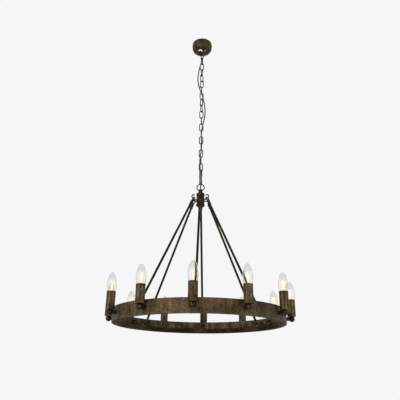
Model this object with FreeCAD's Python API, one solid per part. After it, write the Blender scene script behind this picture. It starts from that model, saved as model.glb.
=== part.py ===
import FreeCAD, Part
import math
import os

# Wagon wheel chandelier. Lengths in millimetres, +Z up. The origin is the middle of the
# ceiling bracket at the ceiling's surface, and everything hangs below it.
# Azimuth 0 is the front (-Y) and azimuths grow counterclockwise seen from above.

V = FreeCAD.Vector
ORIGIN = V(0, 0, 0)
UP = V(0, 0, 1)
ACROSS = V(1, 0, 0)

# ---------------------------------------------------------------- driving dimensions
SEAT_GAP = 0.3              # between hanging pieces that bear on each other

# ceiling bracket, canopy and hook
CANOPY_R = 45.0
CANOPY_H = 40.0
CANOPY_WALL = 1.2
CANOPY_ROUND = 18.0         # radius of the lower edge
CANOPY_MOUTH_R = 19.0       # hole that the chain comes through
STRIP = 2.5                 # thickness of the bracket's strip
BRACKET_W = 20.0
BRACKET_MID = 24.0          # half length of the dropped middle
BRACKET_DROP = 12.5         # ceiling to the underside of the dropped middle
EAR_W = 10.0
EAR_H = 16.0
EAR_CLEAR = 0.6             # ear to canopy wall, on the middle line
SCREW_SPACING = 66.0        # between the two ceiling screws
SCREW_HOLE_R = 2.6
CANOPY_SCREW_R = 2.0
CANOPY_SCREW_HEAD_R = 3.8
CANOPY_SCREW_DROP = 9.0
SHANK_R = 4.0               # hook's threaded shank
SHANK_FIT = 0.05            # running clearance of the shank in the bracket
HOOK_NUT_FLATS = 13.0
HOOK_NUT_H = 5.0
HOOK_BAR_R = 2.5
HOOK_HALF = 8.5             # half width of the hook's bow
HOOK_BEARING = 50.0         # ceiling to the middle of the bar that carries the chain
HOOK_TURN = -45.0           # turn of the hook and its grip from the plane of Y and Z
GRIP_OFF = 12.6             # middle of the cable grip's bore from the shank's axis
GRIP_R = 8.0
GRIP_BORE_R = 6.0
GRIP_TOP = 13.0
GRIP_SLEEVE_H = 9.0
GRIP_END = 36.5

# chain
LINK_PITCH = 32.4
LINK_WIRE = 4.0
LINK_WIDTH = 18.7
# turn of each link about the chain's axis in degrees, from the hook down
LINK_TURNS = (-45, 67.5, 0, -67.5, 45, -22.5, 90, 22.5, -45, 67.5, 0, 90, 0, 90, 0, 90, 0, 90, 20, 130, 60)

# hub
LOOP_WIRE = 4.5
LOOP_OUTER = 34.7
NECK_R = 8.3
NECK_H = 16.0
NECK_BORE_R = 5.5
BUSH_H = 6.0
HUB_H = 59.0
HUB_WAIST_R = 16.5
HUB_FLANGE_R = 18.0
HUB_FLANGE_H = 11.0         # height of the upper and lower swelling
HUB_CAVITY_R = 10.5
HUB_ENDS = 11.0             # thickness of the hub's closed ends
STUD_R = 3.0
FINIAL_R = 5.2

# rods and their hooks
ROD_COUNT = 6
ROD_R = 4.5
ROD_LENGTH = 524.8          # eye to eye
EYE_OUTER = 17.0
EYE_WIRE = 4.0
EYE_TWIST = -30.0           # turn of both eyes about the rod, from square to the hooks
UPPER_EYE_R = 33.0          # from the chandelier's axis
UPPER_EYE_DROP = 55.4       # below the middle of the hub's loop
FERRULE_R = 6.0
FERRULE_H = 18.0
FERRULE_FROM_EYE = 14.0
HOOK_WIRE_R = 2.4
HOOK_BEND = 5.0
HOOK_PLATE = 2.4            # thickness of the lower hook's plate
HOOK_TOP = 35.5             # lower hook's highest run, above the band's lower edge
HOOK_LOW = 17.5             # and its lowest
HOOK_STEP = 12.0            # length of that highest run

# wheel
CANDLE_COUNT = 12
BAND_R = 320.0
BAND_WALL = 3.0
BAND_H = 47.3
LOWER_EYE_IN = 63.0         # from the band's inner face
LOWER_EYE_UP = 22.0         # above the band's lower edge
TROUGH_W = 14.0
TROUGH_H = 17.0
TROUGH_WALL = 1.5
WIRING_R = 2.8
WIRING_GAP = 12.0           # arc of the trough that the wiring leaves free, degrees

# candle lamps
CANDLE_OUT = 21.0           # candle's axis from the band's outer face
BALL_R = 11.0
BALL_UP = 22.5              # ball's middle above the band's lower edge
BALL_FLAT = 8.5             # ball's middle to its flat top and side
NIPPLE_R = 5.0
NIPPLE_BORE_R = 3.0
COLLAR_R = 7.0
ARM_NUT_FLATS = 14.0
ARM_NUT_H = 3.5
ARM_TAIL = 0.5              # arm nipple's end beyond its nut
CUP_H = 2.6
CUP_SPIGOT_H = 3.5
TUBE_R = 15.5
TUBE_WALL = 1.2
TUBE_LENGTH = 58.8
HOLDER_R = 13.4
HOLDER_H = 40.0
HOLDER_UP = 1.5             # holder's foot above the cup's spigot
SOCKET_R = 7.3
SOCKET_DEPTH = 27.0
BULB_CAP_R = 6.95
BULB_R = 17.5
BULB_NECK_R = 8.8
BULB_SHOW = 65.9            # bulb above the tube's rim
# the envelope's outline, as shares of BULB_SHOW above the rim and of BULB_R
BULB_PROFILE = ((0.0, 0.77), (0.17, 0.935), (0.37, 1.0), (0.62, 0.85), (0.82, 0.64), (0.94, 0.39))
BULB_WALL = 0.8
CONTACT_GAP = 0.3
STEM_R = 3.2
STEM_H = 16.0
FILAMENT_R = 0.9
FILAMENT_H = 34.0
FILAMENT_AT = 4.2           # filament's foot from the bulb's axis
FILAMENTS = 4

# cable: diameter, and its route from the grip to the hub, chosen by hand
CABLE_D = 5.5
CABLE_POINTS = (
    (8.9, -8.9, -33.5),
    (9.3, -11.5, -62.0),
    (5.0, -14.8, -92.0),
    (-4.5, -14.8, -122.0),
    (-12.0, -11.5, -152.0),
    (-17.5, -6.5, -186.0),
    (-17.0, -6.5, -222.0),
    (-9.5, -12.5, -256.0),
    (1.0, -15.5, -288.0),
    (10.5, -12.5, -322.0),
    (16.0, -6.5, -358.0),
    (16.5, -5.5, -396.0),
    (10.5, -11.5, -432.0),
    (4.5, -15.0, -465.0),
    (0.8, -15.5, -502.0),
    (3.2, -15.4, -542.0),
    (2.8, -15.6, -574.0),
    (-2.8, -15.3, -606.0),
    (-4.0, -15.5, -643.0),
    (1.0, -15.3, -676.0),
    (2.6, -15.0, -703.0),
    (1.6, -13.5, -728.0),
    (0.0, 0.0, -748.0),
    (0.0, 0.0, -768.0),
)

# ---------------------------------------------------------------- levels that follow
LINK_INNER = LINK_PITCH + SEAT_GAP
LINK_MID_R = (LINK_WIDTH - LINK_WIRE) / 2
TOP_LINK_Z = -HOOK_BEARING + HOOK_BAR_R + SEAT_GAP - LINK_INNER / 2
BOTTOM_LINK_Z = TOP_LINK_Z - LINK_PITCH * (len(LINK_TURNS) - 1)
LOOP_MID_R = (LOOP_OUTER - LOOP_WIRE) / 2
LOOP_Z = BOTTOM_LINK_Z - LINK_INNER / 2 + LOOP_WIRE / 2 + SEAT_GAP - LOOP_MID_R
NECK_TOP = LOOP_Z - LOOP_MID_R + LOOP_WIRE
HUB_TOP = NECK_TOP - NECK_H
HUB_BOTTOM = HUB_TOP - HUB_H

BAND_INNER = BAND_R - BAND_WALL
CANDLE_R = BAND_R + CANDLE_OUT
LOWER_EYE_R = BAND_INNER - LOWER_EYE_IN

EYE_MID_R = (EYE_OUTER - EYE_WIRE) / 2
EYE_PLAY = EYE_MID_R - EYE_WIRE / 2 - HOOK_WIRE_R - SEAT_GAP
UPPER_EYE_Z = LOOP_Z - UPPER_EYE_DROP
ROD_REACH = LOWER_EYE_R - UPPER_EYE_R
LOWER_EYE_Z = UPPER_EYE_Z - math.sqrt(ROD_LENGTH ** 2 - ROD_REACH ** 2)
BAND_Z = LOWER_EYE_Z - LOWER_EYE_UP

BALL_Z = BAND_Z + BALL_UP
CUP_Z = BALL_Z + BALL_FLAT
TUBE_Z = CUP_Z + CUP_H
RIM_Z = TUBE_Z + TUBE_LENGTH
HOLDER_Z = TUBE_Z + CUP_SPIGOT_H + HOLDER_UP
SOCKET_Z = HOLDER_Z + HOLDER_H - SOCKET_DEPTH


# ---------------------------------------------------------------- helpers
def at(r, z, side=0.0):
    """A point in the plane of azimuth 0: r out from the axis, side to the right."""
    return V(side, -r, z)


def turned(shape, degrees):
    copy = shape.copy()
    copy.rotate(ORIGIN, UP, degrees)
    return copy


def around(shape, count):
    """The shape and its copies, evenly spaced about the chandelier's axis."""
    return [turned(shape, 360.0 / count * k) for k in range(count)]


def outward(shape, z):
    """A shape made along +Z, laid down to point out at azimuth 0, at height z."""
    copy = shape.copy()
    copy.rotate(ORIGIN, ACROSS, 90)
    copy.translate(V(0, 0, z))
    return copy


def rod_between(start, end, radius):
    return Part.makeCylinder(radius, (end - start).Length, start, end - start)


def tube(r_out, r_in, z_low, z_high):
    outer = Part.makeCylinder(r_out, z_high - z_low, V(0, 0, z_low))
    return outer.cut(Part.makeCylinder(r_in, z_high - z_low, V(0, 0, z_low)))


def lathe(profile):
    """Turn an outline about the Z axis. A point is (r, z); one of four numbers is an
    arc: the point on the way, then the point it ends at."""
    edges = []
    here = V(profile[0][0], 0, profile[0][1])
    for step in list(profile[1:]) + [profile[0]]:
        there = V(step[-2], 0, step[-1])
        if len(step) == 4:
            edges.append(Part.Arc(here, V(step[0], 0, step[1]), there).toShape())
        else:
            edges.append(Part.LineSegment(here, there).toShape())
        here = there
    return Part.Face(Part.Wire(edges)).revolve(ORIGIN, UP, 360)


def ring(middle, radius, wire_r, facing, seam):
    """A round ring square to facing. Its surface closes on the side of seam, inside."""
    circle = Part.Circle(V(radius, 0, 0), V(0, 1, 0), wire_r)
    circle.XAxis = V(-1, 0, 0)
    body = Part.Face(Part.Wire(circle.toShape())).revolve(ORIGIN, UP, 360)
    body.Placement = FreeCAD.Placement(middle, FreeCAD.Rotation(seam, facing.cross(seam), facing, "ZXY"))
    return body


def route(points, bend=None):
    """Straight runs joined by tangent arcs, and the arcs' radii. An arc takes 0.45 of
    the shorter run beside it, or the radius bend where that is smaller."""
    edges = []
    radii = []
    start = points[0]
    for before, corner, after in zip(points, points[1:], points[2:]):
        run_in = corner - before
        run_out = after - corner
        shorter = min(run_in.Length, run_out.Length)
        half = run_in.getAngle(run_out) / 2
        radius = 0.45 * shorter / math.tan(half)
        if bend is not None:
            radius = min(radius, bend)
        setback = radius * math.tan(half)
        way_in = run_in.normalize()
        way_out = run_out.normalize()
        first = corner - way_in * setback
        last = corner + way_out * setback
        inside = (way_out - way_in).normalize()
        middle = corner + inside * (radius / math.cos(half) - radius)
        edges.append(Part.LineSegment(start, first).toShape())
        edges.append(Part.Arc(first, middle, last).toShape())
        radii.append(radius)
        start = last
    edges.append(Part.LineSegment(start, points[-1]).toShape())
    return Part.Wire(edges), radii


def wire_form(path, radius):
    """A round bar along a path."""
    start = path.Edges[0].valueAt(path.Edges[0].FirstParameter)
    way = path.Edges[0].tangentAt(path.Edges[0].FirstParameter)
    section = Part.Wire(Part.Circle(start, way, radius).toShape())
    return path.makePipeShell([section], True, False)


def bent_bar(points, radius, bend):
    return wire_form(route(points, bend)[0], radius)


def hexagon_nut(flats, height, bore_r):
    """A nut on the Z axis, standing on z = 0."""
    corner = flats / math.sqrt(3)
    points = []
    for k in range(7):
        angle = math.radians(60 * k)
        points.append(V(corner * math.cos(angle), corner * math.sin(angle), 0))
    body = Part.Face(Part.makePolygon(points)).extrude(V(0, 0, height))
    return body.cut(Part.makeCylinder(bore_r, height))


def save(name, pieces):
    shape = pieces
    if isinstance(pieces, list):
        shape = Part.makeCompound(pieces)
    shape.exportStep("parts/" + name + ".step")
    print("%-18s solids %2d  volume %10.1f" % (name, len(shape.Solids), shape.Volume))


# ---------------------------------------------------------------- ceiling fitting
def ceiling_bracket():
    """A strip that is flat on the ceiling at both ends, dropped in the middle for the
    hook's nut, with an ear bent down at each end for the canopy screws."""
    ear_out = CANOPY_R - CANOPY_WALL - EAR_CLEAR
    half_w = BRACKET_W / 2
    middle = Part.makeBox(2 * BRACKET_MID, BRACKET_W, STRIP, V(-BRACKET_MID, -half_w, -BRACKET_DROP))
    strip = middle
    for side in (-1, 1):
        flat_from = BRACKET_MID - STRIP
        low = min(side * flat_from, side * ear_out)
        flat = Part.makeBox(ear_out - flat_from, BRACKET_W, STRIP, V(low, -half_w, -STRIP))
        hole = Part.makeCylinder(SCREW_HOLE_R, STRIP, V(side * SCREW_SPACING / 2, 0, -STRIP))
        riser_low = min(side * flat_from, side * BRACKET_MID)
        riser = Part.makeBox(STRIP, BRACKET_W, BRACKET_DROP, V(riser_low, -half_w, -BRACKET_DROP))
        ear_low = min(side * (ear_out - STRIP), side * ear_out)
        ear = Part.makeBox(STRIP, EAR_W, EAR_H, V(ear_low, -EAR_W / 2, -EAR_H))
        strip = strip.fuse([flat.cut(hole), riser, ear])
    # the corners of the flat ends follow the canopy's round wall
    round_end = Part.makeCylinder(CANOPY_R - CANOPY_WALL - EAR_CLEAR / 3, BRACKET_DROP + EAR_H,
                                  V(0, 0, -BRACKET_DROP - EAR_H))
    shank_hole = Part.makeCylinder(SHANK_R + SHANK_FIT, STRIP, V(0, 0, -BRACKET_DROP))
    screw_hole = Part.makeCylinder(CANOPY_SCREW_R, 2 * CANOPY_R, V(-CANOPY_R, 0, -CANOPY_SCREW_DROP), ACROSS)
    return strip.common(round_end).cut(shank_hole).cut(screw_hole).removeSplitter()


def canopy():
    """A round cup with its rim against the ceiling and a hole for the chain."""
    inner_r = CANOPY_R - CANOPY_WALL
    inner_round = CANOPY_ROUND - CANOPY_WALL
    diagonal = math.sqrt(0.5)
    bend_z = -CANOPY_H + CANOPY_ROUND
    bend_r = CANOPY_R - CANOPY_ROUND
    cup = lathe((
        (inner_r, 0),
        (CANOPY_R, 0),
        (CANOPY_R, bend_z),
        (bend_r + CANOPY_ROUND * diagonal, bend_z - CANOPY_ROUND * diagonal, bend_r, -CANOPY_H),
        (CANOPY_MOUTH_R, -CANOPY_H),
        (CANOPY_MOUTH_R, -CANOPY_H + CANOPY_WALL),
        (bend_r, -CANOPY_H + CANOPY_WALL),
        (bend_r + inner_round * diagonal, bend_z - inner_round * diagonal, inner_r, bend_z),
    ))
    screw_hole = Part.makeCylinder(CANOPY_SCREW_R, 2 * CANOPY_R + 2, V(-CANOPY_R - 1, 0, -CANOPY_SCREW_DROP), ACROSS)
    return cup.cut(screw_hole)


def canopy_screws():
    """Two screws through the canopy's wall into the bracket's ears."""
    length = CANOPY_WALL + EAR_CLEAR + STRIP + 2
    shank = Part.makeCylinder(CANOPY_SCREW_R, length + 1)
    dome = Part.makeCone(CANOPY_SCREW_HEAD_R, CANOPY_SCREW_HEAD_R * 0.6, 2, V(0, 0, length))
    screw = shank.fuse(dome)
    pieces = []
    for side in (-1, 1):
        laid = screw.copy()
        laid.rotate(ORIGIN, V(0, 1, 0), 90 * side)
        laid.translate(V(side * (CANOPY_R - length), 0, -CANOPY_SCREW_DROP))
        pieces.append(laid)
    return pieces


def ceiling_hook():
    """A threaded shank that ends in an open hook, square to the chain's first link."""
    shank_low = -BRACKET_DROP - HOOK_NUT_H * 2
    shank_top = -BRACKET_DROP + STRIP + HOOK_NUT_H + 1
    shank = Part.makeCylinder(SHANK_R, shank_top - shank_low, V(0, 0, shank_low))
    neck = -HOOK_BEARING + 2.6 * HOOK_HALF
    bow = (
        V(0, 0, shank_low),
        V(0, 0, neck + 1.5),
        V(0, HOOK_HALF, neck - 4),
        V(0, HOOK_HALF, -HOOK_BEARING),
        V(0, -HOOK_HALF, -HOOK_BEARING),
        V(0, -HOOK_HALF, -HOOK_BEARING + 1.4 * HOOK_HALF),
    )
    return turned(shank.fuse(bent_bar(bow, HOOK_BAR_R, HOOK_HALF - 0.5)), HOOK_TURN)


def hook_nut():
    nut = hexagon_nut(HOOK_NUT_FLATS, HOOK_NUT_H, SHANK_R)
    nut.translate(V(0, 0, -BRACKET_DROP + STRIP + SHANK_FIT))
    return nut


def cord_grip():
    """A moulded block on the shank, whose open mouth takes the cable's end."""
    sleeve = Part.makeCylinder(GRIP_R, GRIP_SLEEVE_H, V(0, 0, -GRIP_TOP - GRIP_SLEEVE_H))
    mouth = Part.makeCylinder(GRIP_R, GRIP_END - GRIP_TOP, V(GRIP_OFF, 0, -GRIP_END))
    web = Part.makeBox(GRIP_OFF, GRIP_R, GRIP_SLEEVE_H, V(0, -GRIP_R / 2, -GRIP_TOP - GRIP_SLEEVE_H))
    body = sleeve.fuse([mouth, web])
    body = body.cut(Part.makeCylinder(SHANK_R, GRIP_SLEEVE_H, V(0, 0, -GRIP_TOP - GRIP_SLEEVE_H)))
    body = body.cut(Part.makeCylinder(GRIP_BORE_R, GRIP_END - GRIP_TOP - 6, V(GRIP_OFF, 0, -GRIP_END)))
    body = body.cut(Part.makeCylinder(CABLE_D / 2, GRIP_END - GRIP_TOP, V(GRIP_OFF, 0, -GRIP_END)))
    return turned(body.removeSplitter(), HOOK_TURN)


# ---------------------------------------------------------------- chain and cable
def chain_link():
    """One welded link about the origin, in the plane of X and Z."""
    half = (LINK_INNER - LINK_WIDTH) / 2 + LINK_WIRE
    r = LINK_MID_R
    edges = [
        Part.LineSegment(V(-r, 0, -half), V(-r, 0, half)).toShape(),
        Part.Arc(V(-r, 0, half), V(0, 0, half + r), V(r, 0, half)).toShape(),
        Part.LineSegment(V(r, 0, half), V(r, 0, -half)).toShape(),
        Part.Arc(V(r, 0, -half), V(0, 0, -half - r), V(-r, 0, -half)).toShape(),
    ]
    return wire_form(Part.Wire(edges), LINK_WIRE / 2)


def chain_links():
    links = []
    for k, turn in enumerate(LINK_TURNS):
        link = turned(chain_link(), turn)
        link.translate(V(0, 0, TOP_LINK_Z - LINK_PITCH * k))
        links.append(link)
    return links


def cable():
    points = [V(*point) for point in CABLE_POINTS]
    path, radii = route(points)
    body = wire_form(path, CABLE_D / 2)
    expected = math.pi * CABLE_D ** 2 / 4 * path.Length
    print("cable length %.1f, volume / (section x length) %.5f" % (path.Length, body.Volume / expected))
    print("cable radii", " ".join("%.0f" % radius for radius in radii))
    return body


# ---------------------------------------------------------------- hub
def hub_loop():
    """The round loop on its bored neck, which the chain's last link goes through."""
    loop = ring(V(0, 0, LOOP_Z), LOOP_MID_R, LOOP_WIRE / 2, V(0, 1, 0), UP)
    neck = Part.makeCylinder(NECK_R, NECK_H, V(0, 0, HUB_TOP))
    bore = Part.makeCylinder(NECK_BORE_R, NECK_H, V(0, 0, HUB_TOP))
    return loop.fuse(neck).cut(bore)


def neck_bush():
    """The ring in the neck's lower half that holds the cable."""
    return tube(NECK_BORE_R, CABLE_D / 2, HUB_TOP, HUB_TOP + BUSH_H)


def hub_body():
    """A turned spool, hollow for the wiring, swollen at its top and bottom."""
    swell = HUB_FLANGE_H
    return lathe((
        (NECK_BORE_R, HUB_TOP),
        (HUB_WAIST_R - 1, HUB_TOP),
        (HUB_FLANGE_R, HUB_TOP - swell / 2, HUB_WAIST_R - 0.5, HUB_TOP - swell),
        (HUB_WAIST_R - 3, HUB_TOP - swell - 2, HUB_WAIST_R - 1, HUB_TOP - swell - 4),
        (HUB_WAIST_R + 0.5, (HUB_TOP + HUB_BOTTOM) / 2, HUB_WAIST_R - 1, HUB_BOTTOM + swell + 6),
        (HUB_WAIST_R - 3, HUB_BOTTOM + swell + 4, HUB_WAIST_R - 0.5, HUB_BOTTOM + swell + 2),
        (HUB_FLANGE_R, HUB_BOTTOM + swell / 2 + 2, HUB_WAIST_R - 4, HUB_BOTTOM + 1),
        (HUB_WAIST_R - 4, HUB_BOTTOM),
        (STUD_R, HUB_BOTTOM),
        (STUD_R, HUB_BOTTOM + HUB_ENDS),
        (HUB_CAVITY_R, HUB_BOTTOM + HUB_ENDS),
        (HUB_CAVITY_R, HUB_TOP - HUB_ENDS),
        (NECK_BORE_R, HUB_TOP - HUB_ENDS),
    ))


def finial():
    """The knob under the hub, on its stud."""
    low = HUB_BOTTOM
    stud = Part.makeCylinder(STUD_R, HUB_ENDS + 3, V(0, 0, low - 3))
    disc = Part.makeCylinder(FINIAL_R + 2, 1.8, V(0, 0, low - 1.8))
    knob = Part.makeSphere(FINIAL_R, V(0, 0, low - 1.8 - FINIAL_R * 0.85))
    return disc.fuse([stud, knob])


# ---------------------------------------------------------------- rods and hooks
UPPER_EYE = at(UPPER_EYE_R, UPPER_EYE_Z)
LOWER_EYE = at(LOWER_EYE_R, LOWER_EYE_Z)
DOWN_ROD = (LOWER_EYE - UPPER_EYE).normalize()
SQUARE = V(0, -1, 0).cross(UP).cross(DOWN_ROD).normalize()   # out and up, square to the rod


def rod():
    """A round bar with a ring at each end, both turned the same way."""
    twist = math.radians(EYE_TWIST)
    facing = SQUARE * math.cos(twist) + V(math.sin(twist), 0, 0)
    bar_in = EYE_MID_R
    bar = rod_between(UPPER_EYE + DOWN_ROD * bar_in, LOWER_EYE - DOWN_ROD * bar_in, ROD_R)
    upper = ring(UPPER_EYE, EYE_MID_R, EYE_WIRE / 2, facing, DOWN_ROD * -1)
    lower = ring(LOWER_EYE, EYE_MID_R, EYE_WIRE / 2, facing, DOWN_ROD)
    return bar.fuse([upper, lower])


def rod_ferrule():
    start = UPPER_EYE + DOWN_ROD * FERRULE_FROM_EYE
    end = start + DOWN_ROD * FERRULE_H
    return rod_between(start, end, FERRULE_R).cut(rod_between(start, end, ROD_R))


def hub_hook(body):
    """A scroll that leaves the hub's side, passes through the rod's eye and curls up."""
    seat = UPPER_EYE - DOWN_ROD * EYE_PLAY
    points = (
        V(0, -(HUB_CAVITY_R + HUB_WAIST_R) / 2, seat.z - 1.5 * HOOK_BEND),
        seat - SQUARE * 2.2 * HOOK_BEND,
        seat + SQUARE * 1.4 * HOOK_BEND,
        seat + V(0, -1.4, 2.0) * HOOK_BEND,
        seat + V(0, -0.2, 3.3) * HOOK_BEND,
        seat + V(0, 1.1, 2.9) * HOOK_BEND,
    )
    return bent_bar(points, HOOK_WIRE_R, HOOK_BEND).cut(body)


def band_hook():
    """A wavy bar from a plate behind the arm nut, through the rod's lower eye."""
    seat = LOWER_EYE + DOWN_ROD * EYE_PLAY
    out = BAND_INNER - SEAT_GAP
    top = BAND_Z + HOOK_TOP
    low = BAND_Z + HOOK_LOW
    points = (
        at(out - HOOK_WIRE_R, top),
        at(out - HOOK_STEP, top),
        at(out - HOOK_STEP - 1.3 * HOOK_BEND, low + 0.6 * HOOK_BEND),
        at(out - HOOK_STEP - 3.8 * HOOK_BEND, low),
        at(out - HOOK_STEP - 5.4 * HOOK_BEND, low + 2.2 * HOOK_BEND),
        seat + SQUARE * 2.8 * HOOK_BEND,
        seat - SQUARE * 1.8 * HOOK_BEND,
        seat + V(0, 3.0, -0.5) * HOOK_BEND,
        seat + V(0, 3.4, 1.4) * HOOK_BEND,
    )
    bar = bent_bar(points, HOOK_WIRE_R, HOOK_BEND)
    plate = outward(Part.makeCylinder(COLLAR_R + 2, HOOK_PLATE, V(0, 0, out - HOOK_PLATE)), BALL_Z)
    tongue_low = at(out, BALL_Z, -COLLAR_R)
    tongue = Part.makeBox(2 * COLLAR_R, HOOK_PLATE, top + HOOK_WIRE_R - BALL_Z, tongue_low)
    hole = outward(Part.makeCylinder(NIPPLE_R, 3 * HOOK_PLATE, V(0, 0, out - 2 * HOOK_PLATE)), BALL_Z)
    return bar.fuse([plate, tongue]).cut(hole)


# ---------------------------------------------------------------- wheel
def arm_holes():
    """Cutters through the band where the twelve arm nipples pass."""
    cutter = outward(Part.makeCylinder(NIPPLE_R, 4 * BAND_WALL, V(0, 0, BAND_INNER - BAND_WALL)), BALL_Z)
    return around(cutter, CANDLE_COUNT)


def band():
    """The rolled and welded strip."""
    return tube(BAND_R, BAND_INNER, BAND_Z, BAND_Z + BAND_H).cut(arm_holes())


def band_trough():
    """The channel inside the band's foot that hides the wiring."""
    inner = BAND_INNER - TROUGH_W
    return lathe((
        (inner, BAND_Z),
        (BAND_INNER, BAND_Z),
        (BAND_INNER, BAND_Z + TROUGH_WALL),
        (inner + TROUGH_WALL, BAND_Z + TROUGH_WALL),
        (inner + TROUGH_WALL, BAND_Z + TROUGH_H),
        (inner, BAND_Z + TROUGH_H),
    ))


def ring_wiring():
    """The flex that lies round the trough, its two ends short of each other."""
    r = BAND_INNER - TROUGH_W / 2 + TROUGH_WALL / 2
    z = BAND_Z + TROUGH_WALL + WIRING_R
    section = Part.Face(Part.Wire(Part.Circle(V(0, r, z), ACROSS, WIRING_R).toShape()))
    return turned(section.revolve(ORIGIN, UP, 360 - WIRING_GAP), WIRING_GAP / 2)


# ---------------------------------------------------------------- candle lamps
def at_candle(shape):
    """Move a shape made on the Z axis out to the front candle."""
    copy = shape.copy()
    copy.translate(at(CANDLE_R, 0))
    return copy


def ball_nut():
    """A ball, flat on top and towards the band, bored for both nipples."""
    ball = Part.makeSphere(BALL_R, V(0, 0, BALL_Z))
    block = Part.makeBox(4 * BALL_R, 4 * BALL_R, 2 * BALL_R + BALL_FLAT,
                         V(-2 * BALL_R, BALL_FLAT - 4 * BALL_R, BALL_Z - 2 * BALL_R))
    ball = ball.common(block)
    up = Part.makeCylinder(NIPPLE_R, BALL_R, V(0, 0, BALL_Z + NIPPLE_R + 0.5))
    wires = Part.makeCylinder(NIPPLE_BORE_R, BALL_R, V(0, 0, BALL_Z))
    side = Part.makeCylinder(NIPPLE_R, BALL_R, V(0, NIPPLE_R + 1, BALL_Z), V(0, 1, 0))
    across = Part.makeCylinder(NIPPLE_BORE_R, BALL_R, V(0, 0, BALL_Z), V(0, 1, 0))
    return at_candle(ball.cut([up, wires, side, across]))


def arm_nipple():
    """The threaded tube from the ball through the band."""
    outer_end = CANDLE_R - NIPPLE_R - 1
    inner_end = BAND_INNER - SEAT_GAP - HOOK_PLATE - ARM_NUT_H - ARM_TAIL
    return outward(tube(NIPPLE_R, NIPPLE_BORE_R, inner_end, outer_end), BALL_Z)


def arm_collar():
    return outward(tube(COLLAR_R, NIPPLE_R, BAND_R, CANDLE_R - BALL_FLAT), BALL_Z)


def arm_nuts():
    """Nuts inside the band. Every second one also holds a hook's plate."""
    nuts = []
    for k in range(CANDLE_COUNT):
        held = SEAT_GAP
        if (k * ROD_COUNT) % CANDLE_COUNT == 0:
            held = SEAT_GAP + HOOK_PLATE
        nut = hexagon_nut(ARM_NUT_FLATS, ARM_NUT_H, NIPPLE_R)
        nut.translate(V(0, 0, BAND_INNER - held - ARM_NUT_H))
        nuts.append(turned(outward(nut, BALL_Z), 360.0 / CANDLE_COUNT * k))
    return nuts


def lamp_nipple():
    low = BALL_Z + NIPPLE_R + 0.5
    return at_candle(tube(NIPPLE_R, NIPPLE_BORE_R, low, HOLDER_Z + 8))


def tube_cup():
    """The disc on the ball that the candle tube stands on."""
    cup = Part.makeCylinder(TUBE_R, CUP_H, V(0, 0, CUP_Z))
    spigot = Part.makeCylinder(TUBE_R - TUBE_WALL, CUP_SPIGOT_H, V(0, 0, TUBE_Z))
    hole = Part.makeCylinder(NIPPLE_R, CUP_H + CUP_SPIGOT_H, V(0, 0, CUP_Z))
    return at_candle(cup.fuse(spigot).cut(hole))


def candle_tube():
    return at_candle(tube(TUBE_R, TUBE_R - TUBE_WALL, TUBE_Z, RIM_Z))


def lampholder():
    """The socket inside the candle tube, screwed on the upright nipple."""
    top = HOLDER_Z + HOLDER_H
    return at_candle(lathe((
        (NIPPLE_R, HOLDER_Z),
        (HOLDER_R, HOLDER_Z),
        (HOLDER_R, top),
        (SOCKET_R, top),
        (SOCKET_R, SOCKET_Z),
        (0, SOCKET_Z),
        (0, HOLDER_Z + 8),
        (NIPPLE_R, HOLDER_Z + 8),
    )))


def holder_foot():
    """The spacer ring between the cup and the lampholder."""
    return at_candle(tube(NIPPLE_R + 3, NIPPLE_R, TUBE_Z + CUP_SPIGOT_H, HOLDER_Z))


CAP_Z = SOCKET_Z + CONTACT_GAP
CAP_TOP = HOLDER_Z + HOLDER_H + 0.5
NECK_Z = CAP_TOP + 1.5


def bulb_outline(inset):
    """Half of the candle-shaped envelope, as far inside its surface as inset."""
    points = [V(BULB_NECK_R - inset, 0, NECK_Z)]
    for share_up, share_out in BULB_PROFILE:
        points.append(V(share_out * BULB_R - inset, 0, RIM_Z + share_up * BULB_SHOW))
    points.append(V(0, 0, RIM_Z + BULB_SHOW - inset))
    curve = Part.BSplineCurve()
    curve.interpolate(Points=points, InitialTangent=UP, FinalTangent=V(-1, 0, 0))
    return curve.toShape()


def bulb_glass():
    outer = bulb_outline(0)
    inner = bulb_outline(BULB_WALL)
    tip_out = outer.valueAt(outer.LastParameter)
    tip_in = inner.valueAt(inner.LastParameter)
    foot_out = outer.valueAt(outer.FirstParameter)
    foot_in = inner.valueAt(inner.FirstParameter)
    rim = Part.LineSegment(foot_in, foot_out).toShape()
    tip = Part.LineSegment(tip_out, tip_in).toShape()
    return at_candle(Part.Face(Part.Wire([rim, outer, tip, inner])).revolve(ORIGIN, UP, 360))


def bulb_base():
    """Screw cap, glass stem and upright filaments."""
    cap = lathe((
        (0, CAP_Z),
        (2.4, CAP_Z),
        (2.4, CAP_Z + 1.5),
        (BULB_CAP_R - 1, CAP_Z + 4),
        (BULB_CAP_R, CAP_Z + 4),
        (BULB_CAP_R, CAP_TOP),
        (BULB_NECK_R, NECK_Z),
        (0, NECK_Z),
    ))
    stem = Part.makeCone(STEM_R, STEM_R * 0.7, STEM_H, V(0, 0, NECK_Z))
    pieces = [cap, stem]
    for k in range(FILAMENTS):
        start = V(STEM_R * 0.7 - FILAMENT_R, 0, NECK_Z + STEM_H)
        end = V(FILAMENT_AT + FILAMENT_R, 0, NECK_Z + STEM_H + FILAMENT_H)
        bar = rod_between(start, end, FILAMENT_R)
        above = Part.makeBox(2 * BULB_R, 2 * BULB_R, 2 * FILAMENT_H, V(-BULB_R, -BULB_R, NECK_Z + STEM_H))
        pieces.append(turned(bar.common(above), 360.0 / FILAMENTS * k + 45))
    return [at_candle(piece) for piece in pieces]


# ---------------------------------------------------------------- build
os.makedirs("parts", exist_ok=True)

save("ceiling_bracket", ceiling_bracket())
save("canopy", canopy())
save("canopy_screws", canopy_screws())
save("ceiling_hook", ceiling_hook())
save("hook_nut", hook_nut())
save("cord_grip", cord_grip())

save("chain_links", chain_links())
save("cable", cable())

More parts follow.
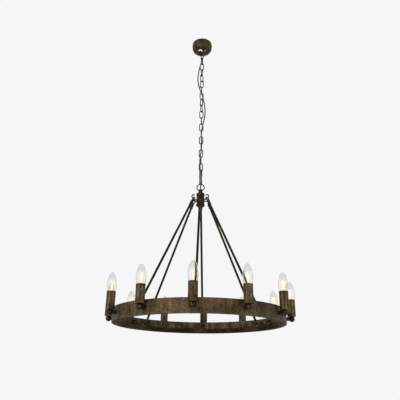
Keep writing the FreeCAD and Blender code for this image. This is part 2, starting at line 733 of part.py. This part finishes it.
hub = hub_body()
save("hub_loop", hub_loop())
save("neck_bush", neck_bush())
save("hub_body", hub)
save("finial", finial())
save("hub_hooks", around(hub_hook(hub), ROD_COUNT))
for number, bar in enumerate(around(rod(), ROD_COUNT)):
    save("rod_%d" % (number + 1), bar)
save("rod_ferrules", around(rod_ferrule(), ROD_COUNT))
save("band_hooks", around(band_hook(), ROD_COUNT))

save("band", band())
save("band_trough", band_trough())
save("ring_wiring", ring_wiring())

save("ball_nuts", around(ball_nut(), CANDLE_COUNT))
save("arm_nipples", around(arm_nipple(), CANDLE_COUNT))
save("arm_collars", around(arm_collar(), CANDLE_COUNT))
save("arm_nuts", arm_nuts())
save("lamp_nipples", around(lamp_nipple(), CANDLE_COUNT))
save("tube_cups", around(tube_cup(), CANDLE_COUNT))
save("candle_tubes", around(candle_tube(), CANDLE_COUNT))
save("lampholders", around(lampholder(), CANDLE_COUNT))
save("holder_feet", around(holder_foot(), CANDLE_COUNT))

glass = bulb_glass()
base = bulb_base()
for number in range(CANDLE_COUNT):
    place = 360.0 / CANDLE_COUNT * number
    save("bulb_glass_%d" % (number + 1), turned(glass, place))
    save("bulb_base_%d" % (number + 1), [turned(piece, place) for piece in base])

print("band foot %.2f, loop %.2f, tip %.2f" % (BAND_Z, LOOP_Z, RIM_Z + BULB_SHOW))
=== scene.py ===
import bpy
import bmesh
import math
from mathutils import Matrix, Vector

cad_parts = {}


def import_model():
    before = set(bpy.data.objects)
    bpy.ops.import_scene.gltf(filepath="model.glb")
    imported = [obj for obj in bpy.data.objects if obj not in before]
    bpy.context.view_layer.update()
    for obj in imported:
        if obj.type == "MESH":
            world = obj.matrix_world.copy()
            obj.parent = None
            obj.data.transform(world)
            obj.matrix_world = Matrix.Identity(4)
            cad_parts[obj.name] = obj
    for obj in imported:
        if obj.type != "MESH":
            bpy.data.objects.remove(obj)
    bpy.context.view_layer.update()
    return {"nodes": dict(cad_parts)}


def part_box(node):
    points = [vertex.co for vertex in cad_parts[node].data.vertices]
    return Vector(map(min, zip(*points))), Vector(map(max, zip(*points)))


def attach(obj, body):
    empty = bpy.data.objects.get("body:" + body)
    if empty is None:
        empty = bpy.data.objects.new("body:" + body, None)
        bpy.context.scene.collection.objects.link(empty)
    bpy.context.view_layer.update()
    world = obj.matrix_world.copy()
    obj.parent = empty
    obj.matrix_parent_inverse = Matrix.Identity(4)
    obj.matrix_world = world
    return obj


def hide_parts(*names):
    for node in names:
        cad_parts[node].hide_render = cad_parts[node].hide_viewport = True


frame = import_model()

NODES = frame["nodes"]

# ---------------------------------------------------------------- sizes, in metres
MM = 0.001
BAND_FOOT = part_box("band")[0].z
CANDLE_R = 341.0 * MM                       # chandelier's axis to a candle's axis
CANDLES = 12
RODS = 6
CABLE_D = 5.5 * MM
BULB_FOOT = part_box("bulb_glass_1")[0].z
BULB_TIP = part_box("bulb_glass_1")[1].z
STEM_TOP = BULB_FOOT + 16.0 * MM            # foot of the filaments
CAP_RIDGE = 2.8 * MM                        # from ridge to ridge on a bulb's cap
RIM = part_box("candle_tubes")[1].z
CRISP_TURN = math.radians(32)               # edges that turn more than this stay crisp

# the cable's route, the same points as in the part's source
CABLE_POINTS_MM = (
    (8.9, -8.9, -33.5),
    (9.3, -11.5, -62.0),
    (5.0, -14.8, -92.0),
    (-4.5, -14.8, -122.0),
    (-12.0, -11.5, -152.0),
    (-17.5, -6.5, -186.0),
    (-17.0, -6.5, -222.0),
    (-9.5, -12.5, -256.0),
    (1.0, -15.5, -288.0),
    (10.5, -12.5, -322.0),
    (16.0, -6.5, -358.0),
    (16.5, -5.5, -396.0),
    (10.5, -11.5, -432.0),
    (4.5, -15.0, -465.0),
    (0.8, -15.5, -502.0),
    (3.2, -15.4, -542.0),
    (2.8, -15.6, -574.0),
    (-2.8, -15.3, -606.0),
    (-4.0, -15.5, -643.0),
    (1.0, -15.3, -676.0),
    (2.6, -15.0, -703.0),
    (1.6, -13.5, -728.0),
    (0.0, 0.0, -748.0),
    (0.0, 0.0, -768.0),
)


# ---------------------------------------------------------------- node helpers
class Graph:
    """The nodes of a material or a world, added and linked by short calls."""

    def __init__(self, owner, output="ShaderNodeOutputMaterial"):
        owner.use_nodes = True
        self.owner = owner
        self.tree = owner.node_tree
        self.tree.nodes.clear()
        self.out = self.tree.nodes.new(output)

    def add(self, kind, **settings):
        """A node, with its sockets or its own settings set by name."""
        node = self.tree.nodes.new(kind)
        for key, value in settings.items():
            if key in node.inputs:
                node.inputs[key].default_value = value
            else:
                setattr(node, key, value)
        return node

    def link(self, source, target):
        self.tree.links.new(source, target)

    def feed(self, value, socket):
        """Set a socket to a number or a colour, or link it to another node's output."""
        if isinstance(value, (int, float)):
            socket.default_value = value
        elif isinstance(value, tuple):
            socket.default_value = (*value, 1.0)
        else:
            self.link(value, socket)

    def place(self, scale=(1.0, 1.0, 1.0)):
        """Object coordinates, stretched."""
        coordinates = self.add("ShaderNodeTexCoord")
        mapping = self.add("ShaderNodeMapping", Scale=scale)
        self.link(coordinates.outputs["Object"], mapping.inputs["Vector"])
        return mapping.outputs["Vector"]

    def noise(self, place, scale, detail=4.0, roughness=0.55):
        node = self.add("ShaderNodeTexNoise", Scale=scale, Detail=detail, Roughness=roughness)
        self.link(place, node.inputs["Vector"])
        return node.outputs["Fac"]

    def ramp(self, source, stops):
        """Colours or greys at places from 0 to 1 along the source."""
        node = self.add("ShaderNodeValToRGB")
        ramp = node.color_ramp
        while len(ramp.elements) < len(stops):
            ramp.elements.new(0.5)
        for element, (position, colour) in zip(ramp.elements, stops):
            element.position = position
            element.color = grey(colour) if isinstance(colour, float) else (*colour, 1.0)
        self.link(source, node.inputs["Fac"])
        return node.outputs["Color"]

    def mix(self, factor, first, second, blend="MIX"):
        """Two colours mixed. The node has these sockets for them, among those for numbers."""
        node = self.add("ShaderNodeMix", data_type="RGBA", blend_type=blend)
        self.feed(factor, node.inputs[0])
        self.feed(first, node.inputs[6])
        self.feed(second, node.inputs[7])
        return node.outputs[2]

    def math(self, operation, first, second=0.0):
        node = self.add("ShaderNodeMath", operation=operation)
        self.feed(first, node.inputs[0])
        self.feed(second, node.inputs[1])
        return node.outputs[0]

    def plainly_seen(self):
        """1 where the camera looks straight at it or through glass, or sees it in a gloss."""
        path = self.add("ShaderNodeLightPath")
        indirect = self.math("MAXIMUM", path.outputs["Is Glossy Ray"], path.outputs["Is Transmission Ray"])
        return self.math("MAXIMUM", path.outputs["Is Camera Ray"], indirect)

    def height(self):
        """The height in the object's own space, in metres."""
        coordinates = self.add("ShaderNodeTexCoord")
        split = self.add("ShaderNodeSeparateXYZ")
        self.link(coordinates.outputs["Object"], split.inputs[0])
        return split.outputs["Z"]

    def bump(self, source, strength, distance, normal=None):
        node = self.add("ShaderNodeBump", Strength=strength, Distance=distance)
        self.link(source, node.inputs["Height"])
        if normal is not None:
            self.link(normal, node.inputs["Normal"])
        return node.outputs["Normal"]

    def wear(self, radius):
        """Where the surface turns within that radius, and the softened normal."""
        node = self.add("ShaderNodeBevel", samples=4, Radius=radius)
        geometry = self.add("ShaderNodeNewGeometry")
        dot = self.add("ShaderNodeVectorMath", operation="DOT_PRODUCT")
        self.link(node.outputs["Normal"], dot.inputs[0])
        self.link(geometry.outputs["Normal"], dot.inputs[1])
        edge = self.math("SUBTRACT", 1.0, dot.outputs["Value"])
        return edge, node.outputs["Normal"]

    def shade(self, **inputs):
        """A principled shader, with its sockets by name."""
        node = self.add("ShaderNodeBsdfPrincipled")
        for key, value in inputs.items():
            self.feed(value, node.inputs[key.replace("_", " ")])
        return node

    def blend(self, share, first, second):
        """The first shader where share is 0, and the second where it is 1."""
        node = self.add("ShaderNodeMixShader")
        self.link(share, node.inputs[0])
        self.link(first.outputs[0], node.inputs[1])
        self.link(second.outputs[0], node.inputs[2])
        return node

    def finish(self, shader):
        self.link(shader.outputs[0], self.out.inputs["Surface"])
        return self.owner


def material_graph(name):
    return Graph(bpy.data.materials.new(name))


def grey(value):
    return (value, value, value, 1.0)


def linear(red, green, blue):
    """A colour as a screen shows it, 0 to 255, in the renderer's linear values."""
    values = []
    for channel in (red, green, blue):
        c = channel / 255.0
        values.append(c / 12.92 if c <= 0.04045 else ((c + 0.055) / 1.055) ** 2.4)
    return tuple(values)


# ---------------------------------------------------------------- materials
SPECKLE = 900.0                             # noise scale of the finest grain on the metals
RUSSET = linear(86, 67, 53)
SPECULAR_LEVEL = 0.25
SPECULAR_TINT = (0.62, 0.52, 0.38)          # the metals' highlights are warm


def bronze(name, dark, middle, light, stretch, scale, rough, metal, wear, russet=0.0):
    """Streaked, patinated metal in three colours. stretch scales the streaks' noise along each
    axis, wear is the width of the rubbed edges, and russet the share of reddish patches."""
    g = material_graph(name)
    streaks = g.noise(g.place(stretch), scale, 5.0, 0.6)
    blotches = g.noise(g.place(), scale * 0.6, 5.0, 0.62)
    fine = g.noise(g.place(), SPECKLE, 3.0, 0.6)
    base = g.ramp(streaks, ((0.36, dark), (0.50, middle), (0.66, light)))
    patches = g.ramp(blotches, ((0.40, dark), (0.60, middle)))
    colour = g.mix(0.5, base, patches)
    if russet:
        warm = g.ramp(g.noise(g.place(), scale * 0.22, 3.0, 0.5), ((0.46, 0.0), (0.60, 1.0)))
        colour = g.mix(g.math("MULTIPLY", warm, russet), colour, RUSSET)
        pits = g.ramp(g.noise(g.place(), scale * 2.6, 4.0, 0.7), ((0.36, 0.45), (0.56, 1.15)))
        colour = g.mix(0.8, colour, g.mix(1.0, colour, pits, "MULTIPLY"))
    speck = g.ramp(fine, ((0.40, 0.72), (0.62, 1.12)))
    colour = g.mix(0.55, colour, g.mix(1.0, colour, speck, "MULTIPLY"))
    edge, normal = g.wear(wear)
    rubbed = g.ramp(edge, ((0.02, 0.0), (0.22, 1.0)))
    bright = tuple(min(1.0, c * 1.5) for c in light)
    colour = g.mix(g.math("MULTIPLY", rubbed, 0.4), colour, bright)
    gloss = g.ramp(blotches, ((0.30, rough + 0.16), (0.70, rough - 0.10)))
    skin = g.bump(fine, 0.16, 0.0004, normal)
    skin = g.bump(blotches, 0.25, 0.0006, skin)
    return g.finish(g.shade(
        Base_Color=colour,
        Metallic=metal,
        Roughness=gloss,
        Normal=skin,
        Specular_IOR_Level=SPECULAR_LEVEL,
        Specular_Tint=SPECULAR_TINT,
    ))


BAND_METAL = bronze(
    "band_bronze",
    linear(34, 27, 15), linear(75, 63, 42), linear(122, 106, 78),
    (1.0, 1.0, 0.38), 46.0, rough=0.50, metal=0.35, wear=0.0014, russet=0.5,
)
# the trough's colours are far darker than the band's: painted shade for the shaded strip along the band's
# inner foot, over the metal's own streaks and patina
TROUGH_METAL_PAINTED_SHADE = bronze(
    "trough_bronze_painted_shade",
    linear(18, 14, 8), linear(32, 25, 15), linear(54, 45, 31),
    (1.0, 1.0, 0.2), 34.0, rough=0.72, metal=0.15, wear=0.0008, russet=0.4,
)
TUBE_METAL = bronze(
    "tube_bronze",
    linear(34, 27, 14), linear(76, 64, 43), linear(116, 101, 73),
    (1.0, 1.0, 0.22), 90.0, rough=0.36, metal=0.6, wear=0.0008,
)
ROD_METAL = bronze(
    "rod_bronze",
    linear(14, 11, 6), linear(30, 24, 15), linear(62, 52, 37),
    (1.0, 1.0, 0.10), 120.0, rough=0.36, metal=0.55, wear=0.0006,
)
FITTING_METAL = bronze(
    "fitting_bronze",
    linear(20, 15, 8), linear(44, 36, 24), linear(96, 82, 60),
    (1.0, 1.0, 1.0), 160.0, rough=0.30, metal=0.6, wear=0.0008,
)
CHAIN_METAL = bronze(
    "chain_bronze",
    linear(16, 14, 10), linear(34, 31, 23), linear(78, 73, 58),
    (1.0, 1.0, 1.0), 180.0, rough=0.38, metal=0.6, wear=0.0006,
)
CANOPY_METAL = bronze(
    "canopy_bronze",
    linear(38, 31, 19), linear(70, 60, 40), linear(100, 88, 64),
    (1.0, 1.0, 0.4), 60.0, rough=0.42, metal=0.5, wear=0.0010,
)
ZINC = bronze(
    "zinc_plate",
    linear(120, 120, 118), linear(150, 150, 148), linear(180, 180, 178),
    (1.0, 1.0, 1.0), 240.0, rough=0.34, metal=0.9, wear=0.0005,
)


def sheath(name, dark, light):
    """Smooth plastic with a faint grain along its height."""
    g = material_graph(name)
    grain = g.noise(g.place((1.0, 1.0, 0.2)), 420.0, 3.0)
    colour = g.ramp(grain, ((0.35, dark), (0.65, light)))
    gloss = g.ramp(grain, ((0.3, 0.46), (0.7, 0.34)))
    shader = g.shade(Base_Color=colour, Roughness=gloss, Normal=g.bump(grain, 0.2, 0.0002))
    return g.finish(shader)


CABLE_SKIN = sheath("cable_skin", linear(34, 30, 20), linear(62, 56, 40))
PLASTIC = sheath("moulded_plastic", linear(22, 21, 20), linear(36, 35, 33))


def clear_glass():
    """Blown glass with faint waves, warm low down and greyer at the top and at its outline."""
    g = material_graph("bulb_glass")
    waves = g.noise(g.place(), 60.0, 2.0)
    up = g.math("DIVIDE", g.math("SUBTRACT", g.height(), RIM), BULB_TIP - RIM)
    body = g.ramp(up, (
        (0.05, (0.965, 0.94, 0.905)),
        (0.50, (0.945, 0.94, 0.925)),
        (0.72, (0.87, 0.875, 0.86)),
    ))
    layer = g.add("ShaderNodeLayerWeight", Blend=0.5)
    outline = g.ramp(layer.outputs["Facing"], ((0.45, 1.0), (0.86, 0.50)))
    return g.finish(g.shade(
        Base_Color=g.mix(1.0, body, outline, "MULTIPLY"),
        Roughness=0.015,
        Normal=g.bump(waves, 0.03, 0.0006),
        Transmission_Weight=1.0,
        IOR=1.12,
    ))


GLASS = clear_glass()


def bulb_inside():
    """Metal cap below the neck, milky stem above it with a faint painted glow, glowing filaments on top.
    """
    g = material_graph("bulb_inside")
    height = g.height()
    grain = g.noise(g.place(), 500.0, 3.0)
    ring = g.math("SINE", g.math("MULTIPLY", height, 2.0 * math.pi / CAP_RIDGE))
    cap = g.shade(
        Base_Color=g.ramp(grain, ((0.3, linear(150, 128, 82)), (0.7, linear(188, 168, 120)))),
        Metallic=0.9,
        Roughness=0.32,
        Normal=g.bump(ring, 0.6, 0.0006),
    )
    # the stem's faint warm emission is painted light: it glows though it is no lamp
    stem = g.shade(
        Base_Color=g.ramp(grain, ((0.3, linear(232, 222, 200)), (0.7, linear(246, 238, 222)))),
        Roughness=0.25,
        Emission_Color=linear(255, 214, 160),
        Emission_Strength=0.25,
    )
    glow = g.shade(
        Base_Color=linear(250, 226, 192),
        Roughness=0.4,
        Emission_Color=linear(255, 236, 212),
        Emission_Strength=0.6,
    )
    hair = 0.1 * MM                         # keeps the faces at both heights on their own side
    above_neck = g.math("GREATER_THAN", height, BULB_FOOT + hair)
    above_stem = g.math("GREATER_THAN", height, STEM_TOP - hair)
    return g.finish(g.blend(above_stem, g.blend(above_neck, cap, stem), glow))


BULB_INSIDE = bulb_inside()

FINISH = {
    "ceiling_bracket": ZINC,
    "canopy": CANOPY_METAL,
    "canopy_screws": FITTING_METAL,
    "ceiling_hook": FITTING_METAL,
    "hook_nut": ZINC,
    "cord_grip": PLASTIC,
    "chain_links": CHAIN_METAL,
    "cable": CABLE_SKIN,
    "hub_loop": CHAIN_METAL,
    "neck_bush": PLASTIC,
    "hub_body": FITTING_METAL,
    "finial": FITTING_METAL,
    "hub_hooks": FITTING_METAL,
    "rod_ferrules": FITTING_METAL,
    "band_hooks": ROD_METAL,
    "band": BAND_METAL,
    "band_trough": TROUGH_METAL_PAINTED_SHADE,
    "ring_wiring": CABLE_SKIN,
    "ball_nuts": FITTING_METAL,
    "arm_nipples": BAND_METAL,
    "arm_collars": FITTING_METAL,
    "arm_nuts": BAND_METAL,
    "lamp_nipples": ZINC,
    "tube_cups": TUBE_METAL,
    "candle_tubes": TUBE_METAL,
    "lampholders": PLASTIC,
    "holder_feet": ZINC,
}
for number in range(1, RODS + 1):
    FINISH["rod_%d" % number] = ROD_METAL
for number in range(1, CANDLES + 1):
    FINISH["bulb_glass_%d" % number] = GLASS
    FINISH["bulb_base_%d" % number] = BULB_INSIDE

for name, piece in NODES.items():
    piece.data.materials.clear()
    piece.data.materials.append(FINISH[name])
    for polygon in piece.data.polygons:
        polygon.use_smooth = True
    smooth = piece.modifiers.new("smooth", "EDGE_SPLIT")
    smooth.split_angle = CRISP_TURN


# ---------------------------------------------------------------- cable
def cable():
    """The supply cable from the grip in the canopy to the hub's neck."""
    curve = bpy.data.curves.new("supply_cable", "CURVE")
    curve.dimensions = "3D"
    spline = curve.splines.new("NURBS")
    spline.points.add(len(CABLE_POINTS_MM) - 1)
    for point, place in zip(spline.points, CABLE_POINTS_MM):
        point.co = (*(value * MM for value in place), 1.0)
    spline.order_u = 3
    spline.use_endpoint_u = True
    spline.resolution_u = 12
    curve.bevel_depth = CABLE_D / 2
    curve.bevel_resolution = 5
    curve.use_fill_caps = True
    piece = bpy.data.objects.new("supply_cable", curve)
    bpy.context.scene.collection.objects.link(piece)
    curve.materials.append(CABLE_SKIN)
    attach(piece, "pendant")
    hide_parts("cable")


cable()


# ---------------------------------------------------------------- small trim
def revolve_into(form, outline, middle, steps):
    """Add a closed ring: an outline of (r, z) in millimetres, turned about an upright axis."""
    loops = []
    for k in range(steps):
        angle = 2.0 * math.pi * k / steps
        loops.append([
            form.verts.new(middle + Vector((r * math.cos(angle), r * math.sin(angle), z)) * MM)
            for r, z in outline
        ])
    for k in range(steps):
        near, far = loops[k], loops[(k + 1) % steps]
        for i in range(len(outline)):
            j = (i + 1) % len(outline)
            form.faces.new((near[i], far[i], far[j], near[j]))


def trim_piece(name, outline, middles, steps, material):
    """One piece of equal rings, each turned about its own middle."""
    form = bmesh.new()
    for middle in middles:
        revolve_into(form, outline, middle, steps)
    bmesh.ops.recalc_face_normals(form, faces=form.faces)
    for face in form.faces:
        face.smooth = True
    mesh = bpy.data.meshes.new(name)
    form.to_mesh(mesh)
    form.free()
    mesh.materials.append(material)
    piece = bpy.data.objects.new(name, mesh)
    bpy.context.scene.collection.objects.link(piece)
    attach(piece, "pendant")


TUBE_R_MM = 15.5
LIP_STEPS = 48
LIP_OUTLINE = (
    (TUBE_R_MM - 0.1, -3.2),
    (TUBE_R_MM + 0.25, -2.9),
    (TUBE_R_MM + 0.5, -2.1),
    (TUBE_R_MM + 0.55, -1.2),
    (TUBE_R_MM + 0.4, -0.4),
    (TUBE_R_MM + 0.1, 0.0),
    (TUBE_R_MM - 0.1, 0.0),
)


def candle_rims():
    """The middle of each candle tube's rim."""
    middles = []
    for k in range(CANDLES):
        angle = 2.0 * math.pi * k / CANDLES
        middles.append(Vector((CANDLE_R * math.sin(angle), -CANDLE_R * math.cos(angle), RIM)))
    return middles


trim_piece("tube_lips", LIP_OUTLINE, candle_rims(), LIP_STEPS, TUBE_METAL)

# the chain's links, from the top one down, with the turns in degrees of the part's source
LINK_TURNS = (
    -45, 67.5, 0, -67.5, 45, -22.5, 90, 22.5, -45, 67.5, 0,
    90, 0, 90, 0, 90, 0, 90, 20, 130, 60,
)
LINK_PITCH = 32.4 * MM
LINK_SIDE = 7.35 * MM                       # chain's axis to the middle of a link's long side
TOP_LINK_Z = -63.55 * MM                    # middle of the top link
WELD_STEPS = 16
WELD_OUTLINE = (
    (1.8, -3.2),
    (2.1, -2.8),
    (2.35, -1.8),
    (2.45, -0.5),
    (2.4, 0.7),
    (2.3, 1.9),
    (2.1, 2.7),
    (1.8, 3.1),
)


def link_sides():
    """The middle of one long side of each link, where its weld is."""
    middles = []
    for k, turn in enumerate(LINK_TURNS):
        angle = math.radians(turn)
        z = TOP_LINK_Z - LINK_PITCH * k
        middles.append(Vector((LINK_SIDE * math.cos(angle), LINK_SIDE * math.sin(angle), z)))
    return middles


trim_piece("link_welds", WELD_OUTLINE, link_sides(), WELD_STEPS, CHAIN_METAL)


# ---------------------------------------------------------------- camera
CAMERA_AT = Vector((100.9 * MM, -1725.6 * MM, BAND_FOOT - 196.4 * MM))
CAMERA_YAW = math.radians(-3.41)
CAMERA_PITCH = math.radians(21.89)
CAMERA_ROLL = math.radians(0.66)
FOCAL_PX = 453.4                            # focal length in the photograph's pixels
FRAME_PX = 400.0                            # the photograph's width
SENSOR_MM = 36.0


def camera():
    """The photograph's camera, as fitted to it, turned about the axis to face the front candle."""
    forward = Vector((
        math.sin(CAMERA_YAW) * math.cos(CAMERA_PITCH),
        math.cos(CAMERA_YAW) * math.cos(CAMERA_PITCH),
        math.sin(CAMERA_PITCH),
    ))
    right = Vector((math.cos(CAMERA_YAW), -math.sin(CAMERA_YAW), 0.0))
    up = right.cross(forward)
    r = right * math.cos(CAMERA_ROLL) + up * math.sin(CAMERA_ROLL)
    u = up * math.cos(CAMERA_ROLL) - right * math.sin(CAMERA_ROLL)
    data = bpy.data.cameras.new("photo_camera")
    data.sensor_width = SENSOR_MM
    data.sensor_fit = "HORIZONTAL"
    data.lens = SENSOR_MM * FOCAL_PX / FRAME_PX
    piece = bpy.data.objects.new("photo_camera", data)
    turn = Matrix((r, u, -forward)).transposed().to_4x4()
    piece.matrix_world = Matrix.Translation(CAMERA_AT) @ turn
    bpy.context.scene.collection.objects.link(piece)
    bpy.context.scene.camera = piece


camera()


# ---------------------------------------------------------------- studio
PALE = linear(246, 246, 246)                # the background
FLOOR_COLOUR = linear(240, 240, 240)
FLOOR_Z = BAND_FOOT - 1.0
FLOOR_R = 8.0
FLOOR_SIDES = 96
PLAIN_SHARE = 0.7                           # of the background's colour in the floor, where seen
WORLD_COLOUR = (1.0, 0.99, 0.97)
WORLD_LIGHT = 0.40


def pale_stage():
    """A wide floor that the camera sees mostly as the plain background, with shadow on it."""
    mesh = bpy.data.meshes.new("studio_floor")
    form = bmesh.new()
    bmesh.ops.create_circle(form, cap_ends=True, radius=FLOOR_R, segments=FLOOR_SIDES)
    form.to_mesh(mesh)
    form.free()
    floor = bpy.data.objects.new("studio_floor", mesh)
    floor.location.z = FLOOR_Z
    bpy.context.scene.collection.objects.link(floor)
    g = material_graph("studio_floor")
    matt = g.add("ShaderNodeBsdfDiffuse", Color=(*FLOOR_COLOUR, 1.0))
    plain = g.add("ShaderNodeEmission", Color=(*PALE, 1.0))
    share = g.math("MULTIPLY", g.plainly_seen(), PLAIN_SHARE)
    mesh.materials.append(g.finish(g.blend(share, matt, plain)))


pale_stage()


def world():
    """Soft light from all round, and the plain background where it is seen."""
    made = bpy.data.worlds.new("studio")
    bpy.context.scene.world = made
    g = Graph(made, "ShaderNodeOutputWorld")
    light = g.add("ShaderNodeBackground", Color=(*WORLD_COLOUR, 1.0), Strength=WORLD_LIGHT)
    backdrop = g.add("ShaderNodeBackground", Color=(*PALE, 1.0), Strength=1.0)
    g.finish(g.blend(g.plainly_seen(), light, backdrop))


world()

LIGHT_AIM = Vector((0.0, 0.0, BAND_FOOT + 0.15))


def softbox(name, at, width, height, power):
    """An area lamp aimed at the wheel, which isn't seen through the bulbs' glass."""
    data = bpy.data.lights.new(name, "AREA")
    data.shape = "RECTANGLE"
    data.size = width
    data.size_y = height
    data.energy = power
    lamp = bpy.data.objects.new(name, data)
    lamp.location = at
    way = LIGHT_AIM - Vector(at)
    lamp.rotation_euler = way.to_track_quat("-Z", "Y").to_euler()
    lamp.visible_transmission = False
    bpy.context.scene.collection.objects.link(lamp)


softbox("key_light", (-1.9, -2.2, BAND_FOOT + 1.1), width=1.4, height=1.4, power=38.0)
softbox("fill_light", (2.2, -1.7, BAND_FOOT + 0.5), width=1.6, height=1.6, power=18.0)
softbox("low_light", (-0.3, -1.6, BAND_FOOT - 0.6), width=1.4, height=0.8, power=11.0)
softbox("back_light", (0.5, 2.3, BAND_FOOT + 1.3), width=1.6, height=1.2, power=16.0)

bpy.context.scene.view_settings.view_transform = "Standard"
